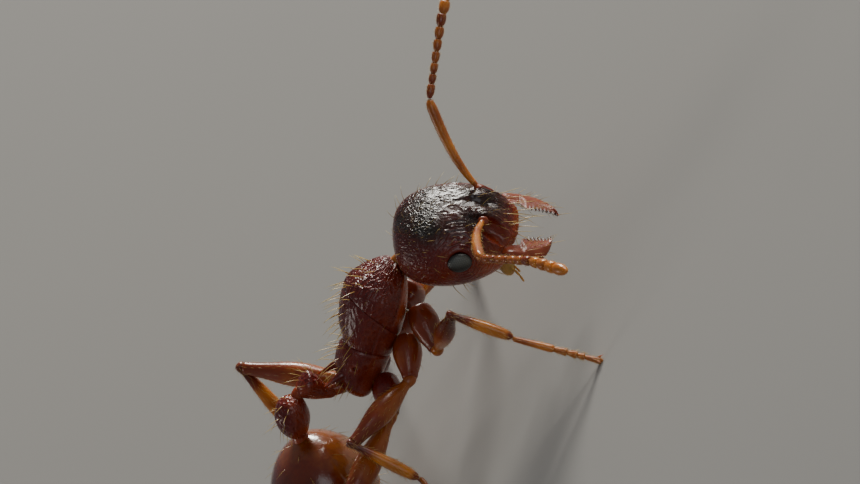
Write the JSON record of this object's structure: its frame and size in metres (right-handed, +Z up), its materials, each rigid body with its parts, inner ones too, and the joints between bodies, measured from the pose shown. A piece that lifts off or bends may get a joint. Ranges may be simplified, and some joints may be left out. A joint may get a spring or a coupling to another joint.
{
  "type": "fire ant",
  "caption": "Life-size still model of a red fire ant worker, standing with its head bowed, jaws open and gaster tucked under.",
  "frame": {"origin": "on the floor, under the middle of the box round the whole ant", "axes": "+X the way the ant faces, +Y its left side, +Z up"},
  "size_m": [0.006, 0.0052, 0.0024],
  "materials": {
    "dark_cuticle": "wrinkled glossy shell",
    "amber_cuticle": "smooth amber shell",
    "gaster_cuticle": "polished shell",
    "jaw_cuticle": "glossy, striped shell",
    "eye_lens": "faceted satin",
    "mouthparts": "soft satin"
  },
  "bodies": {
    "root": {"club_left": "amber_cuticle", "club_right": "amber_cuticle", "coxa_fore_left": "amber_cuticle", "coxa_fore_right": "amber_cuticle", "coxa_hind_left": "amber_cuticle", "coxa_hind_right": "amber_cuticle", "coxa_mid_left": "amber_cuticle", "coxa_mid_right": "amber_cuticle", "eye_left": "eye_lens", "eye_right": "eye_lens", "femur_fore_left": "amber_cuticle", "femur_fore_right": "amber_cuticle", "femur_hind_left": "amber_cuticle", "femur_hind_right": "amber_cuticle", "femur_mid_left": "amber_cuticle", "femur_mid_right": "amber_cuticle", "funicle_left": "amber_cuticle", "funicle_right": "amber_cuticle", "gaster_1": "gaster_cuticle", "gaster_2": "gaster_cuticle", "gaster_3": "gaster_cuticle", "gaster_4": "gaster_cuticle", "head": "dark_cuticle", "mandible_left": "jaw_cuticle", "mandible_right": "jaw_cuticle", "mesothorax": "dark_cuticle", "mouthparts": "mouthparts", "neck": "dark_cuticle", "petiole": "dark_cuticle", "postpetiole": "dark_cuticle", "pronotum": "dark_cuticle", "propodeum": "dark_cuticle", "scape_left": "amber_cuticle", "scape_right": "amber_cuticle", "tarsus_fore_left": "amber_cuticle", "tarsus_fore_right": "amber_cuticle", "tarsus_hind_left": "amber_cuticle", "tarsus_hind_right": "amber_cuticle", "tarsus_mid_left": "amber_cuticle", "tarsus_mid_right": "amber_cuticle", "tibia_fore_left": "amber_cuticle", "tibia_fore_right": "amber_cuticle", "tibia_hind_left": "amber_cuticle", "tibia_hind_right": "amber_cuticle", "tibia_mid_left": "amber_cuticle", "tibia_mid_right": "amber_cuticle"}
  },
  "joints": []
}
